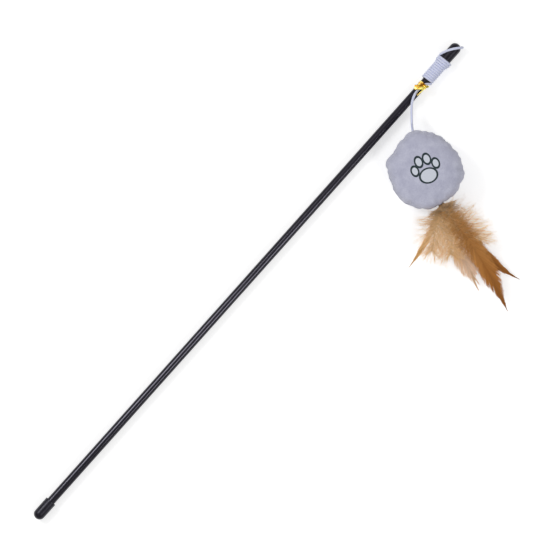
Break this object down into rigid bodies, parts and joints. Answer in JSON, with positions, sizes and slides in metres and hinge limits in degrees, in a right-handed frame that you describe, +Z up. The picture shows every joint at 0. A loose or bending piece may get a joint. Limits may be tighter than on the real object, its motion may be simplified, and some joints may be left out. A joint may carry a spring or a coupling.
{
  "type": "cat teaser wand",
  "caption": "Cat teaser wand: a thin capped rod with an elastic cord wound on and tied near its tip, from which a stuffed fabric ball with a bunch of feathers hangs.",
  "frame": {"origin": "on the rod's axis at its handle end, which is also the centre of the handle cap's dome", "axes": "+X along the rod from the handle to the tip, +Z up from the table that the wand lies on, -Y towards the ball beside the tip"},
  "size_m": [0.4454, 0.1547, 0.0341],
  "materials": {
    "rod": "smooth glossy black plastic",
    "cap": "satin black vinyl",
    "cord": "pale lavender covered elastic cord",
    "foil": "gold foil over a soft wire",
    "ball_fabric": "brushed grey lavender plush",
    "filling": "white polyester fibre",
    "thread": "grey sewing thread",
    "whipping": "dark thread wound round the quills",
    "hackle": "brown hackle feather",
    "pale_feather": "pale tan feather",
    "down": "tan downy feather"
  },
  "bodies": {
    "wand": {"rod": "rod", "handle_cap": "cap", "tip_cap": "cap", "cord_stop_knot": "cord", "cord_winding": "cord", "twist_tie": "foil"},
    "cord": {"cord_drop": "cord"},
    "lure": {"cord_end_knot": "cord", "ball_front_panel": "ball_fabric", "ball_back_panel": "ball_fabric", "ball_stuffing": "filling", "seam_thread": "thread"},
    "feathers": {"feather_binding": "whipping", "main_hackle": "hackle", "second_hackle": "hackle", "pale_hackle": "pale_feather", "right_hackle": "hackle", "left_wisp": "pale_feather", "left_plume": "down", "middle_plume": "down", "right_plume": "down"}
  },
  "joints": [
    {"name": "cord_lift", "type": "hinge", "parent": "wand", "child": "cord", "pos_m": [0.39883, 0, 0.00415], "axis": [-1, 0, 0], "range_deg": [0, 80]},
    {"name": "lure_swing", "type": "hinge", "parent": "cord", "child": "lure", "pos_m": [0.37353, -0.0156, 0.01155], "axis": [0, 0, 1], "range_deg": [-20, 45]},
    {"name": "feather_sway", "type": "hinge", "parent": "lure", "child": "feathers", "pos_m": [0.34816, -0.066, 0.01155], "axis": [0, 0, 1], "range_deg": [-20, 20], "stiffness_Nm_per_rad": 0.002}
  ]
}
